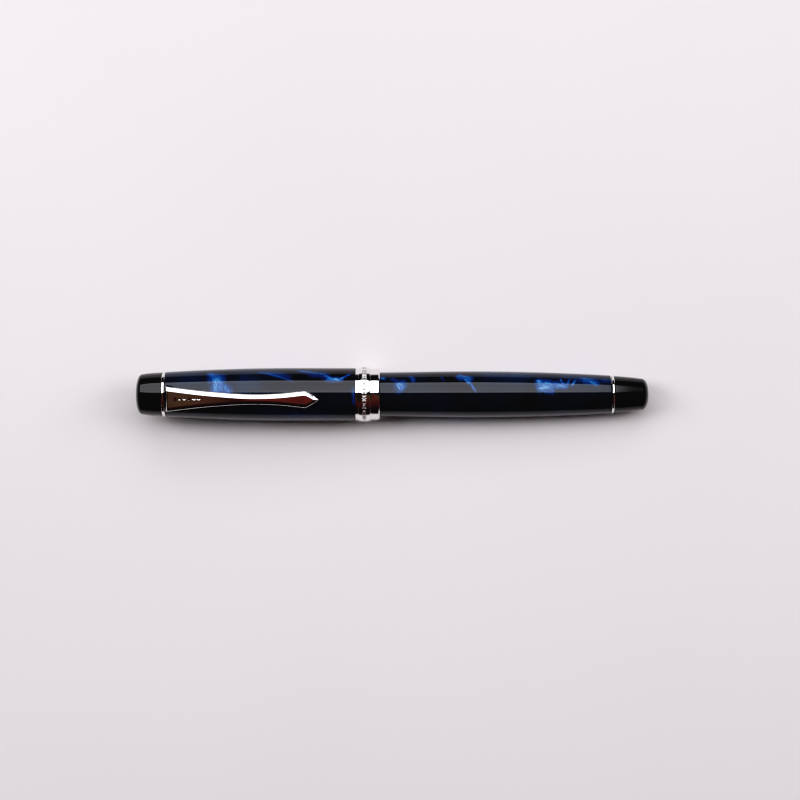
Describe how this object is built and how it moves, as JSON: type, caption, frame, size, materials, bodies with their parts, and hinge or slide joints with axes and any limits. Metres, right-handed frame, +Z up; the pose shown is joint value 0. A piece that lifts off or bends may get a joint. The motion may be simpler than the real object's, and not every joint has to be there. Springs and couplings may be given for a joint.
{
  "type": "fountain pen",
  "caption": "Capped fountain pen with a screw cap, sprung pocket clip, wide trim band, finned feed, nib and a twist converter inside the barrel.",
  "frame": {"origin": "centre of the bounding box's underside: under the middle of the closed pen, on the surface that it lies on", "axes": "+X along the pen from the crown to the tail, +Z up; the cap is turned 10 degrees about +X, so its clip leans towards -Y"},
  "size_m": [0.137, 0.0146, 0.0163],
  "materials": {
    "marbled_resin": "polished dark navy resin with pearly blue flecks",
    "black_resin": "polished black resin",
    "polished_trim": "mirror-polished silver plating",
    "nib_metal": "polished nib with fine scrolling lines",
    "grey_metal": "machined",
    "black_moulding": "satin moulded",
    "clear_tube": "clear moulded plastic",
    "seal_rubber": "matt"
  },
  "bodies": {
    "writing_unit": {"section": "black_resin", "section_thread_collar": "grey_metal", "nib": "nib_metal", "nib_tipping": "grey_metal", "feed": "black_moulding", "ink_nipple": "black_moulding"},
    "cap_core": {"crown": "black_resin", "crown_ring": "polished_trim", "crown_screw": "grey_metal", "inner_cap": "black_moulding"},
    "cap_body": {"cap_shell": "marbled_resin", "cap_band": "polished_trim", "clip_mount": "polished_trim"},
    "clip": {"clip_arm": "polished_trim"},
    "tail_core": {"tail": "black_resin", "tail_ring": "polished_trim"},
    "barrel_body": {"barrel": "marbled_resin"},
    "converter_body": {"converter_tube": "clear_tube", "converter_ferrule": "polished_trim", "rod_guide": "black_moulding"},
    "knob": {"converter_knob": "black_moulding"},
    "piston": {"piston_rod": "black_moulding", "piston_seal": "seal_rubber"}
  },
  "joints": [
    {"name": "cap_pull", "type": "slide", "parent": "writing_unit", "child": "cap_core", "axis": [-1, 0, 0], "range_m": [0, 0.06]},
    {"name": "cap_turn", "type": "hinge", "parent": "cap_core", "child": "cap_body", "pos_m": [-0.03, 0, 0.00732], "axis": [-1, 0, 0], "range_deg": [0, 540]},
    {"name": "clip_flex", "type": "hinge", "parent": "cap_body", "child": "clip", "pos_m": [-0.0598, -0.00112, 0.01364], "axis": [0, -0.9848, -0.1736], "range_deg": [0, 4], "stiffness_Nm_per_rad": 3},
    {"name": "barrel_pull", "type": "slide", "parent": "writing_unit", "child": "tail_core", "axis": [1, 0, 0], "range_m": [0, 0.058]},
    {"name": "barrel_turn", "type": "hinge", "parent": "tail_core", "child": "barrel_body", "pos_m": [0.025, 0, 0.00732], "axis": [1, 0, 0], "range_deg": [0, 1260]},
    {"name": "converter_pull", "type": "slide", "parent": "writing_unit", "child": "converter_body", "axis": [1, 0, 0], "range_m": [0, 0.015]},
    {"name": "knob_turn", "type": "hinge", "parent": "converter_body", "child": "knob", "pos_m": [0.025, 0, 0.00732], "axis": [1, 0, 0], "range_deg": [0, 1980.1]},
    {"name": "piston_feed", "type": "slide", "parent": "converter_body", "child": "piston", "axis": [-1, 0, 0], "range_m": [0, 0.0165]}
  ],
  "couplings": [
    {"joint": "knob_turn", "follows": "piston_feed", "rad_per_m": 2094.4}
  ]
}
